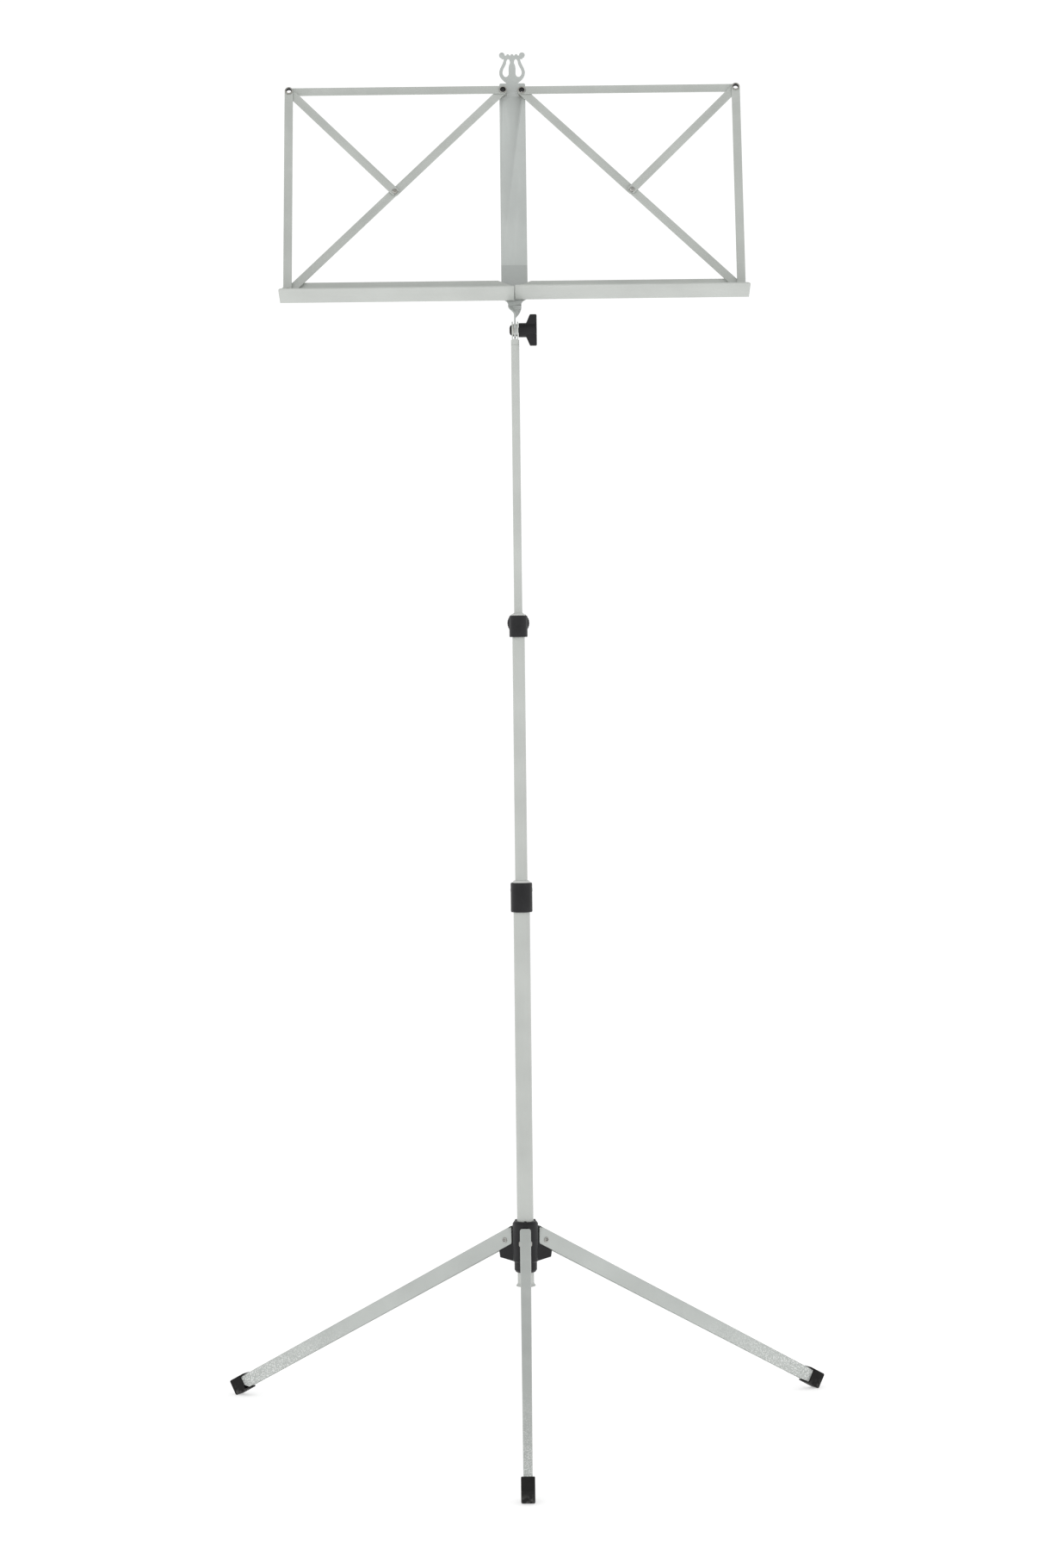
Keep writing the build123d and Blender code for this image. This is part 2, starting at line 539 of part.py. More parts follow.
def centre_bar():
    front_up = STEP_BACK - PLATE_T / 2
    half = PLATE_W / 2
    upper = Pos(0, (STEP_Z[1] + SHOULDER_Z) / 2) * Rectangle(PLATE_W, SHOULDER_Z - STEP_Z[1])
    upper = fillet(upper.vertices().sort_by(Axis.Y)[-2:], 1.8)
    upper += lyre()
    for side in (1, -1):
        upper -= Pos(side * PIVOT_X, TOP_Z) * Circle(EYE_R + SEAT)
    bar = plate(upper, front_up + PLATE_T, PLATE_T)
    rear_low, rear_up = PLATE_T / 2, front_up + PLATE_T
    step = [(rear_low - PLATE_T, STEP_Z[0]), (rear_low, STEP_Z[0]), (rear_up, STEP_Z[1]),
            (rear_up - PLATE_T, STEP_Z[1])]
    bar += extrude(Plane.YZ * make_face(Polyline(*step, close=True)), amount=half, both=True)
    low = LEDGE_Z - 2.0
    neck = TONGUE_W / 2
    outline = [(-neck, TWIST_Z[1]), (neck, TWIST_Z[1]), (neck, low - 1.6), (neck + 1.2, low + 0.6),
               (half, low + 4.0), (half, STEP_Z[0]), (-half, STEP_Z[0]), (-half, low + 4.0),
               (-neck - 1.2, low + 0.6), (-neck, low - 1.6)]
    lower = make_face(Polyline(*outline, close=True))
    for side in (1, -1):
        lower -= Pos(side * PIVOT_X, LOW_Z) * Circle(EYE_R + SEAT)
    bar += plate(lower, rear_low, PLATE_T)
    sections = []
    for index in range(TWIST_STEPS + 1):
        share = index / TWIST_STEPS
        height = TWIST_Z[1] + (TWIST_Z[0] - TWIST_Z[1]) * share
        turn = 90.0 * share
        sections.append(Pos(0, 0, height) * Rot(0, 0, turn) * Rectangle(TONGUE_W, PLATE_T))
    bar += loft(sections, ruled=True)
    tongue = Pos(0, TWIST_Z[0] / 2) * Rectangle(TONGUE_W, TWIST_Z[0])
    tongue += Circle(TONGUE_W / 2)
    tongue -= Circle(BOLT_R + RUN)
    bar += extrude(Plane.YZ * tongue, amount=PLATE_T / 2, both=True)
    return bar


# ---- putting it together ----------------------------------------------------------------------
def base_nodes():
    nodes = {"leg_hub": [leg_hub()], "leg_rivets": []}
    for name, azimuth in LEG_AZIMUTHS.items():
        turn = Rot(0, 0, azimuth)
        nodes[name + "_leg"] = [turn * leg_channel()]
        nodes[name + "_foot_cap"] = [turn * foot_cap()]
        nodes["leg_rivets"].append(turn * leg_rivet())
    return nodes


def pole_nodes():
    nodes = {"lower_tube": [lower_tube()],
             "lower_collar": [collar(LOWER_COLLAR, LOWER_R, LOWER_TUBE_Z[1], MIDDLE_R)],
             "middle_tube": [tube(MIDDLE_R, MIDDLE_BORE_R, *MIDDLE_TUBE_Z)],
             "middle_tube_bush": [guide_bush(LOWER_BORE_R, MIDDLE_R, MIDDLE_TUBE_Z[0])],
             "upper_collar": [collar(UPPER_COLLAR, MIDDLE_R, MIDDLE_TUBE_Z[1], UPPER_R)],
             "upper_rod": [tube(UPPER_R, UPPER_BORE_R, *UPPER_ROD_Z)],
             "upper_rod_bush": [guide_bush(MIDDLE_BORE_R, UPPER_R, UPPER_ROD_Z[0])],
             "tilt_fork": [tilt_fork()], "tilt_bolt": [tilt_bolt()], "tilt_washers": tilt_washers(),
             "tilt_knob": [tilt_knob()], "tilt_knob_nut": [tilt_nut()]}
    for name, spec, inner_r in (("lower", LOWER_COLLAR, MIDDLE_R), ("upper", UPPER_COLLAR, UPPER_R)):
        nodes[name + "_clamp_pad"] = [clamp_pad(spec, inner_r)]
        nodes[name + "_clamp_screw"] = [clamp_screw(spec, inner_r)]
        nodes[name + "_clamp_knob"] = [clamp_knob(spec)]
    return nodes


def desk_nodes():
    """The desk's pieces, leaned back about the tilt axis."""
    nodes = {"centre_bar": [centre_bar()], "top_pivot_eyelets": [], "top_pivot_spacers": [],
             "ledge_pivot_eyelets": [], "ledge_pivot_spacer": [ledge_pivot_spacer()]}
    for name, side in (("left", -1), ("right", 1)):
        eye, washer = top_pivot_pieces(side)
        nodes["top_pivot_eyelets"].append(eye)
        nodes["top_pivot_spacers"].append(washer)
        nodes["ledge_pivot_eyelets"].append(ledge_pivot_eyelet(side))
        nodes[name + "_ledge"] = [ledge(side)]
        nodes[name + "_ledge_end_eyelet"] = ledge_end_pieces(side)[:1]
        nodes[name + "_ledge_end_washers"] = ledge_end_pieces(side)[1:]
        nodes[name + "_top_bar"] = [top_bar(side)]
        nodes[name + "_corner_eyelet"] = [corner_eyelet(side)]
        nodes[name + "_side_bar"] = [side_bar(side)]
        nodes[name + "_upper_diagonal"] = [upper_diagonal(side)]
        nodes[name + "_knee_rivet"] = [knee_rivet(side)]
        nodes[name + "_lower_diagonal"] = [lower_diagonal(side)]
        nodes[name + "_knee_stud"] = [knee_stud(side)]
        nodes[name + "_stay"] = [stay(side)]
    lean = Pos(0, 0, TILT_Z) * Rot(-TILT, 0, 0)
    return {name: [lean * shape for shape in shapes] for name, shapes in nodes.items()}


def all_nodes():
    nodes = {**base_nodes(), **pole_nodes(), **desk_nodes()}
    feet = [nodes[name + "_foot_cap"][0].bounding_box() for name in LEG_AZIMUTHS]
    front = min(box.min.Y for box in feet)
    rear = max(box.max.Y for box in feet)
    shift = Pos(0, -(front + rear) / 2, 0)
    return {name: [shift * shape for shape in shapes] for name, shapes in nodes.items()}, shift


NODES, SHIFT = all_nodes()
POLE_Y = SHIFT.position.Y
for node_name, node_shapes in NODES.items():
    shape = node_shapes[0] if len(node_shapes) == 1 else Compound(children=node_shapes)
    export_step(shape, "parts/" + node_name + ".step")
print("pole axis at y =", round(POLE_Y, 3), "mm;", len(NODES), "nodes")
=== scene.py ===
"""The looks of a folding music stand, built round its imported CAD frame. Metres, +Z up."""

import json
from math import atan2, cos, hypot, pi, radians, sin

import bmesh
import bpy
import numpy as np
from mathutils import Matrix, Vector
from mathutils.geometry import tessellate_polygon


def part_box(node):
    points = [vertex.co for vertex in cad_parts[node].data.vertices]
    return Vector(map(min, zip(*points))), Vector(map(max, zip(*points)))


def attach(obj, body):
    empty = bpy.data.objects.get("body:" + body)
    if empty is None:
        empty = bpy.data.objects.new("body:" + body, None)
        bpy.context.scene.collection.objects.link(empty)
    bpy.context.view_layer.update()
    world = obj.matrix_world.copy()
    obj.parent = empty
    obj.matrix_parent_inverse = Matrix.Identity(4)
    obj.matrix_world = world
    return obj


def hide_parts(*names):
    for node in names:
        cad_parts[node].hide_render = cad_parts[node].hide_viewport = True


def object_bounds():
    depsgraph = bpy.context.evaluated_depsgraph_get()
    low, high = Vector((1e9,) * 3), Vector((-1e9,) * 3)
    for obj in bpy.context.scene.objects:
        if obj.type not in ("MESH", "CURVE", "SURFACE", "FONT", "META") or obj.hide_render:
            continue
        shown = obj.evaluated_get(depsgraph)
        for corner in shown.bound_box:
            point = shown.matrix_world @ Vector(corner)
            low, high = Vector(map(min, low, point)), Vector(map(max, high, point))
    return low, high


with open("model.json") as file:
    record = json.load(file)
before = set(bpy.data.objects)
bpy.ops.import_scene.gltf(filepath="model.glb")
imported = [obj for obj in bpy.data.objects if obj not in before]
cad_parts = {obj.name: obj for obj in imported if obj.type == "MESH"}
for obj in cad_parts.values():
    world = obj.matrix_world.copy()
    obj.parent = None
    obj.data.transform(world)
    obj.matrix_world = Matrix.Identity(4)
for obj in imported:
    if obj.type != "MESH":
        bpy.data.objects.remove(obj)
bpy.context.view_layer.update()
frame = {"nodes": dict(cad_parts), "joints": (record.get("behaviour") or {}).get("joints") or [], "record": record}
MM = 0.001
record = frame["record"]
slot_of = {part["node"]: part["material_slot"] for part in record["subparts"]}
body_of_node = {node: body for body, nodes in record["behaviour"]["bodies"].items() for node in nodes}


# ---- shader wiring ----------------------------------------------------------------------------
class Wire:
    """A shader socket that takes part in arithmetic: each sum or product adds a Math node."""

    def __init__(self, finish, socket):
        self.finish = finish
        self.socket = socket

    def _math(self, operation, first, second):
        return self.finish.node("Math", {"operation": operation}, {0: first, 1: second})

    def __add__(self, other):
        return self._math("ADD", self, other)

    def __radd__(self, other):
        return self._math("ADD", other, self)

    def __sub__(self, other):
        return self._math("SUBTRACT", self, other)

    def __rsub__(self, other):
        return self._math("SUBTRACT", other, self)

    def __mul__(self, other):
        return self._math("MULTIPLY", self, other)

    def __rmul__(self, other):
        return self._math("MULTIPLY", other, self)


class Finish:
    """A material, or the world of a room, whose nodes are all made by one method, node()."""

    def __init__(self, name, room=None):
        self.material = room or bpy.data.materials.new(name)
        self.material.use_nodes = True
        self.tree = self.material.node_tree
        self.tree.nodes.clear()

    def node(self, kind, settings=None, inputs=None, output=0):
        """One node of this kind: its settings first, then the values or wires of its sockets."""
        made = self.tree.nodes.new("ShaderNode" + kind)
        for key, value in (settings or {}).items():
            if key == "stops":
                ramp = made.color_ramp
                while len(ramp.elements) < len(value):
                    ramp.elements.new(0.5)
                for element, (place, shade) in zip(ramp.elements, value):
                    element.position = place
                    element.color = (shade, shade, shade, 1.0)
            else:
                setattr(made, key, value)
        for key, value in (inputs or {}).items():
            if isinstance(value, Wire):
                self.tree.links.new(value.socket, made.inputs[key])
            else:
                made.inputs[key].default_value = value
        return Wire(self, made.outputs[output]) if len(made.outputs) else None

    def place(self, stretch=(1.0, 1.0, 1.0), shift=(0.0, 0.0, 0.0)):
        """The piece's own coordinates in metres, stretched for patterns that run one way."""
        at = self.node("TexCoord", output="Object")
        return self.node("Mapping", None, {"Vector": at, "Scale": stretch, "Location": shift})

    def noise(self, scale, detail=2.0, stretch=(1.0, 1.0, 1.0), shift=(0.0, 0.0, 0.0), rough=0.5):
        sockets = {"Vector": self.place(stretch, shift), "Scale": scale, "Detail": detail,
                   "Roughness": rough}
        return self.node("TexNoise", None, sockets)

    def ramp(self, value, *stops):
        return self.node("ValToRGB", {"stops": stops}, {"Fac": value})

    def mix(self, factor, first, second):
        sockets = {0: factor, 6: as_colour(first), 7: as_colour(second)}
        return self.node("Mix", {"data_type": "RGBA"}, sockets, output=2)

    def bump(self, height, distance, strength=1.0, below=None):
        sockets = {"Height": height, "Distance": distance, "Strength": strength}
        if below is not None:
            sockets["Normal"] = below
        return self.node("Bump", None, sockets)

    def close(self, **sockets):
        """Ends the material in one Principled surface with these sockets."""
        named = {key.replace("_", " "): value for key, value in sockets.items()}
        surface = self.node("BsdfPrincipled", None, named)
        self.node("OutputMaterial", None, {"Surface": surface})
        return self.material


def as_colour(value):
    return value if isinstance(value, Wire) else (*value, 1.0)


# ---- finishes ---------------------------------------------------------------------------------
def grey_paint(name, shade=(0.50, 0.525, 0.49), stretch=(1.0, 1.0, 1.0), peel=0.00005, glints_and_flecks_below=0.0,
               painted_shade_below=0.0):
    """Sprayed grey paint: orange peel, cloudy colour, dust specks and fine rubbed lines.
    Given a fleck height, below it towards the floor the colour breaks up into pale flecks, painted glints of the
    gloss, and dark flecks.
    Given a shade height, below it, where a strip is stepped back, the colour is painted a shade darker: painted
    shade on the step."""
    finish = Finish(name)
    cloud = finish.noise(22.0, 3.0)
    tone = finish.ramp(cloud, (0.30, 0.0), (0.72, 1.0))
    light = tuple(min(1.0, 1.05 * value) for value in shade)
    dark = tuple(0.93 * value for value in shade)
    colour = finish.mix(tone, dark, light)
    speck = finish.ramp(finish.noise(2600.0, 2.0), (0.70, 0.0), (0.76, 1.0))
    colour = finish.mix(speck * 0.16, colour, tuple(0.45 * value for value in shade))
    rub = finish.noise(160.0, 4.0, stretch, (0.3, 0.1, 0.2), 0.65)
    line = finish.ramp(rub, (0.56, 0.0), (0.70, 1.0))
    colour = finish.mix(line * 0.10, colour, (0.70, 0.72, 0.70))
    grain = finish.noise(900.0, 2.0, shift=(0.7, 0.2, 0.4))
    if glints_and_flecks_below:
        at = finish.node("TexCoord", output="Object")
        up = finish.node("SeparateXYZ", None, {0: at}, output="Z")
        low = finish.node("MapRange", {"clamp": True},
                          {"Value": up, "From Min": glints_and_flecks_below, "From Max": 0.02, "To Min": 0.0, "To Max": 1.0})
        # pale flecks here are painted glints of the gloss; the dark flecks are darker spots of colour
        bright = finish.ramp(finish.noise(760.0, 2.0, shift=(0.2, 0.6, 0.1)), (0.50, 0.0), (0.60, 1.0))
        dark = finish.ramp(finish.noise(820.0, 2.0, shift=(0.8, 0.1, 0.5)), (0.56, 0.0), (0.64, 1.0))
        colour = finish.mix(low * bright * 0.75, colour, (0.86, 0.88, 0.86))
        colour = finish.mix(low * dark * 0.45, colour, (0.26, 0.275, 0.26))
    # painted shade: below this height the colour is darkened for the stepped strip, which faces away from the
    # light
    if painted_shade_below:
        at = finish.node("TexCoord", output="Object")
        up = finish.node("SeparateXYZ", None, {0: at}, output="Z")
        dull = finish.node("MapRange", {"clamp": True},
                           {"Value": up, "From Min": painted_shade_below + 0.0003, "From Max": painted_shade_below,
                            "To Min": 0.0, "To Max": 1.0})
        colour = finish.mix(dull, colour, tuple(0.84 * value for value in shade))
    height = finish.noise(480.0, 1.5) + grain * 0.35
    normal = finish.bump(height, peel, 0.9)
    roughness = 0.30 + 0.12 * cloud + 0.10 * line + 0.08 * grain
    return finish.close(Base_Color=colour, Roughness=roughness, Normal=normal,
                        Coat_Weight=0.12 + 0.10 * cloud, Coat_Roughness=0.22)


def black_plastic(name, shade=(0.010, 0.010, 0.011), rough=0.40):
    """Moulded satin plastic: a fine spark-eroded grain, flow marks and a little grey dust."""
    finish = Finish(name)
    cloud = finish.noise(60.0, 3.0)
    grain = finish.noise(2400.0, 2.0, shift=(0.1, 0.5, 0.2))
    flow = finish.noise(90.0, 3.0, (1.0, 1.0, 0.25), (0.4, 0.0, 0.1))
    dust = finish.ramp(finish.noise(3100.0, 1.0, shift=(0.9, 0.3, 0.6)), (0.72, 0.0), (0.78, 1.0))
    colour = finish.mix(finish.ramp(cloud, (0.35, 0.0), (0.70, 1.0)), shade,
                        tuple(1.7 * value + 0.002 for value in shade))
    colour = finish.mix(dust * 0.14, colour, (0.20, 0.20, 0.19))
    normal = finish.bump(flow, 0.0003, 0.25, finish.bump(grain, 0.00004, 0.8))
    return finish.close(Base_Color=colour, Roughness=rough + 0.14 * cloud - 0.08 * flow + 0.06 * grain,
                        Normal=normal, Specular_IOR_Level=0.26)


def black_rubber(name):
    """Soft black rubber: dull, pitted, and scuffed grey where it meets the floor."""
    finish = Finish(name)
    at = finish.node("TexCoord", output="Object")
    height = finish.node("SeparateXYZ", None, {0: at}, output="Z")
    low = finish.node("MapRange", {"clamp": True},
                      {"Value": height, "From Min": 0.010, "From Max": 0.0, "To Min": 0.0, "To Max": 1.0})
    pit = finish.noise(1500.0, 3.0)
    cloud = finish.noise(120.0, 3.0)
    rub = finish.noise(420.0, 4.0, (1.0, 1.0, 0.5), (0.2, 0.4, 0.6))
    scuff = finish.ramp(rub, (0.45, 0.0), (0.62, 1.0))
    colour = finish.mix(cloud, (0.007, 0.007, 0.007), (0.016, 0.016, 0.0155))
    colour = finish.mix(low * scuff * 0.55, colour, (0.16, 0.155, 0.15))
    normal = finish.bump(pit, 0.00008, 0.8)
    return finish.close(Base_Color=colour, Roughness=0.66 + 0.18 * pit, Normal=normal,
                        Specular_IOR_Level=0.2)


def bare_metal(name, shade=(0.80, 0.79, 0.76), rough=0.13, stretch=(1.0, 1.0, 1.0)):
    """Plated or blackened steel: faint tool lines, dull spots and a warm tarnish."""
    finish = Finish(name)
    cloud = finish.noise(180.0, 3.0)
    lines = finish.noise(700.0, 3.0, stretch, (0.1, 0.3, 0.2), 0.7)
    spot = finish.ramp(finish.noise(1300.0, 2.0, shift=(0.5, 0.2, 0.8)), (0.62, 0.0), (0.72, 1.0))
    warm = (0.82 * shade[0], 0.76 * shade[1], 0.66 * shade[2])
    colour = finish.mix(finish.ramp(cloud, (0.42, 0.0), (0.78, 1.0)), shade, warm)
    normal = finish.bump(lines, 0.00003, 0.5)
    return finish.close(Base_Color=colour, Metallic=1.0,
                        Roughness=rough + 0.14 * cloud + 0.22 * spot, Normal=normal)


STEP_ABOVE_LEDGE = 0.0155  # where the centre bar steps back, above the ledges' upper edge

paint = {
    "tube": grey_paint("grey_paint_on_tube", (0.50, 0.52, 0.495), (1.0, 1.0, 0.02)),
    "leg": grey_paint("grey_paint_on_legs", (0.47, 0.495, 0.475), (0.2, 0.2, 0.05), glints_and_flecks_below=0.085),
    "ledge": grey_paint("grey_paint_on_ledges", (0.49, 0.512, 0.485), (0.03, 1.0, 1.0)),
    "bar": grey_paint("grey_paint_on_bars", (0.47, 0.492, 0.465), (0.3, 0.3, 0.3)),
    # the centre bar's colour is painted darker below its step, as painted shade
    "centre": grey_paint("grey_paint_on_centre_bar", (0.485, 0.512, 0.495), (1.0, 0.3, 0.03),
                         painted_shade_below=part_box("left_ledge")[1].z + STEP_ABOVE_LEDGE),
}
plastic = black_plastic("black_moulded_plastic")
knob_plastic = black_plastic("black_knob_plastic", (0.007, 0.007, 0.008), 0.36)
rubber = black_rubber("black_rubber")
nickel = bare_metal("bright_nickel")
steel = bare_metal("plain_steel", (0.60, 0.60, 0.59), 0.28, (0.06, 1.0, 1.0))
black_steel = bare_metal("black_oxide_steel", (0.030, 0.030, 0.031), 0.34)
rivet_head = bare_metal("rivet_heads", (0.42, 0.42, 0.40), 0.30)
# near-black for the bores of the hollow rivets and the rings sunk in the leg rivets: painted shade inside the
# hollows
bore_shade = black_plastic("painted_shade_in_bores", (0.012, 0.012, 0.012), 0.5)
# pale grey for the collars' top rings: a painted highlight for the light their top bevel catches
collar_top_highlight = grey_paint("painted_highlight_on_collar_tops", (0.62, 0.63, 0.61))


def paint_for(node):
    if node.endswith("_leg"):
        return paint["leg"]
    if node.endswith("_ledge"):
        return paint["ledge"]
    if node == "centre_bar":
        return paint["centre"]
    if node in ("lower_tube", "middle_tube", "upper_rod", "tilt_fork"):
        return paint["tube"]
    return paint["bar"]


finish_of_slot = {"black_plastic": plastic, "black_rubber": rubber, "bright_nickel": nickel,
                  "plain_steel": steel, "black_steel": black_steel}
for node, thing in frame["nodes"].items():
    thing.data.materials.clear()
    if node.endswith("_knob"):
        thing.data.materials.append(knob_plastic)
    elif slot_of[node] == "grey_paint":
        thing.data.materials.append(paint_for(node))
    else:
        thing.data.materials.append(finish_of_slot[slot_of[node]])


# ---- surfaces -----------------------------------------------------------------------------------
def softened(outline, radius, steps=4):
    """A closed outline of 2-D points with each corner turned into an arc of about this radius:
    the arc is the quadratic curve from a point on one side to a point on the next."""
    points = np.array(outline, float)
    before, after = np.roll(points, 1, 0), np.roll(points, -1, 0)
    back, ahead = before - points, after - points
    reach_back = np.minimum(radius, 0.45 * np.linalg.norm(back, axis=1))
    reach_ahead = np.minimum(radius, 0.45 * np.linalg.norm(ahead, axis=1))
    start = points + back / np.linalg.norm(back, axis=1)[:, None] * reach_back[:, None]
    end = points + ahead / np.linalg.norm(ahead, axis=1)[:, None] * reach_ahead[:, None]
    t = np.linspace(0, 1, steps + 1)[None, :, None]
    curve = (1 - t) ** 2 * start[:, None] + 2 * t * (1 - t) * points[:, None] + t ** 2 * end[:, None]
    return curve.reshape(-1, 2)


def ring_outline(radius, segments=96):
    """Points of a circle, anticlockwise."""
    a = np.linspace(0, 2 * pi, segments, endpoint=False)
    return np.stack([np.cos(a), np.sin(a)], 1) * radius


def skin(grid, wrap_u=False, wrap_v=False):
    """Vertices and quads of a surface given as an array of points, rows u by columns v."""
    rows, columns = grid.shape[:2]
    u = np.arange(rows if wrap_u else rows - 1)
    v = np.arange(columns if wrap_v else columns - 1)
    a, b = np.meshgrid(u, v, indexing="ij")
    a2, b2 = (a + 1) % rows, (b + 1) % columns
    quads = np.stack([a * columns + b, a2 * columns + b, a2 * columns + b2, a * columns + b2], -1)
    return grid.reshape(-1, 3), quads.reshape(-1, 4).tolist()


def lathe(profile, segments=96, radius_of=None):
    """A closed profile of (radius, height) points turned about Z. radius_of(angle, radius, height)
    may change the radius round the turn, as on a fluted knob."""
    profile = np.array(profile, float)
    a = np.linspace(0, 2 * pi, segments, endpoint=False)[:, None]
    radius, height = profile[None, :, 0], profile[None, :, 1]
    if radius_of is not None:
        radius = radius_of(a, radius, height)
    radius = radius + 0 * a
    grid = np.stack([radius * np.cos(a), radius * np.sin(a), height + 0 * a], -1)
    return skin(grid, wrap_u=True, wrap_v=True)


def cored(profile):
    """The same closed profile, started and ended on the axis by a hair-thin core."""
    return [(max(radius, 1e-5), height) for radius, height in profile]


def slab(outline, back, front, roll, holes=(), steps=3):
    """A flat plate in X and Z from y = back to y = front. The walls are rings of the outline and of
    each hole, drawn into the plate along a quarter circle at both faces so that the edges are
    rolled; each face is then filled between its rings."""
    turn = np.linspace(0, pi / 2, steps + 1)
    draw = np.concatenate([1 - np.sin(turn), 1 - np.cos(turn)]) * roll
    depth = np.concatenate([back - roll * (1 - np.cos(turn)), front + roll * (1 - np.sin(turn))])
    points, faces, rims = [], [], []
    for number, loop in enumerate([outline, *holes]):
        loop = np.array(loop, float)
        after = np.roll(loop, -1, 0)
        area = np.sum(loop[:, 0] * after[:, 1] - after[:, 0] * loop[:, 1])
        if (area > 0) != (number == 0):
            loop = loop[::-1]
        ahead, behind = np.roll(loop, -1, 0) - loop, loop - np.roll(loop, 1, 0)
        along = ahead / np.linalg.norm(ahead, axis=1)[:, None]
        along = along + behind / np.linalg.norm(behind, axis=1)[:, None]
        along /= np.linalg.norm(along, axis=1)[:, None]
        inward = np.stack([-along[:, 1], along[:, 0]], 1)
        rings = loop[None] + inward[None] * draw[:, None, None]
        grid = np.stack([rings[..., 0], depth[:, None] + 0 * rings[..., 0], rings[..., 1]], -1)
        start = sum(len(block) for block in points)
        block, quads = skin(grid, wrap_v=True)
        points.append(block)
        faces += [[start + index for index in quad] for quad in quads]
        last = start + len(block) - len(loop)
        rims.append((list(range(start, start + len(loop))), list(range(last, last + len(loop)))))
    points = np.concatenate(points)
    for which in (0, 1):
        loops = [rim[which] for rim in rims]
        flat = [[Vector((points[index][0], points[index][2], 0)) for index in loop] for loop in loops]
        index = [entry for loop in loops for entry in loop]
        faces += [[index[corner] for corner in triangle] for triangle in tessellate_polygon(flat)]
    return points, faces


def slot_outline(start, end, width, segments=20):
    """A strip with half-round ends: two half circles about its end points."""
    (x0, z0), (x1, z1) = start, end
    along = atan2(z1 - z0, x1 - x0)
    a = np.linspace(-pi / 2, pi / 2, segments + 1)
    far = np.stack([x1 + width / 2 * np.cos(along + a), z1 + width / 2 * np.sin(along + a)], 1)
    near = np.stack([x0 - width / 2 * np.cos(along + a), z0 - width / 2 * np.sin(along + a)], 1)
    return np.concatenate([far, near])


def hook_outline(start, end, width, stud, segments=20):
    """The same strip with its far end open: a notch the size of the stud that flares to the tip."""
    (x0, z0), (x1, z1) = start, end
    length, along = hypot(x1 - x0, z1 - z0), atan2(z1 - z0, x1 - x0)
    lip = radians(40)
    a = np.linspace(-pi / 2, -lip, segments // 2)
    lower = np.stack([length + width / 2 * np.cos(a), width / 2 * np.sin(a)], 1)
    b = np.linspace(-pi / 2, -3 * pi / 2, segments)
    notch = np.stack([length + stud * np.cos(b), stud * np.sin(b)], 1)
    upper = lower[::-1] * (1, -1)
    c = np.linspace(pi / 2, 3 * pi / 2, segments)
    near = np.stack([width / 2 * np.cos(c), width / 2 * np.sin(c)], 1)
    points = np.concatenate([lower, notch, upper, near])
    turned = points @ np.array([[cos(along), sin(along)], [-sin(along), cos(along)]])
    return turned + (x0, z0)


def circle(centre, radius, segments=40):
    return ring_outline(radius, segments) + centre


def across(part, centre):
    """Turns a lathed part so that its axis runs towards the player, and puts it on a pivot."""
    points = np.array(part[0])
    turned = np.stack([points[:, 0] + centre[0], -points[:, 2], points[:, 1] + centre[1]], 1)
    return (turned, *part[1:])


def piece(name, parts, body, finishes, stands_for=(), place=None, sharp=32.0):
    """One object from several (points in millimetres, faces, finish index) surfaces."""
    all_points, all_faces, all_finish = [], [], []
    start = 0
    for part in parts:
        points, faces = part[0], part[1]
        all_points.append(np.array(points, float) * MM)
        all_faces += [[start + index for index in face] for face in faces]
        all_finish += [part[2] if len(part) > 2 else 0] * len(faces)
        start += len(points)
    points = np.concatenate(all_points)
    if place is not None:
        turn = np.array(place, float)
        points = points @ turn[:3, :3].T + turn[:3, 3]
    mesh = bpy.data.meshes.new(name)
    mesh.from_pydata(points.tolist(), [], all_faces)
    for finish in finishes:
        mesh.materials.append(finish)
    mesh.polygons.foreach_set("material_index", all_finish)
    mesh.polygons.foreach_set("use_smooth", [True] * len(all_faces))
    mesh.validate()
    mesh.update()
    tidy = bmesh.new()
    tidy.from_mesh(mesh)
    bmesh.ops.remove_doubles(tidy, verts=tidy.verts, dist=2e-6)
    bmesh.ops.recalc_face_normals(tidy, faces=tidy.faces)
    tidy.to_mesh(mesh)
    tidy.free()
    mesh.set_sharp_from_angle(angle=radians(sharp))
    thing = bpy.data.objects.new(name, mesh)
    bpy.context.scene.collection.objects.link(thing)
    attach(thing, body)
    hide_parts(*stands_for)
    return thing


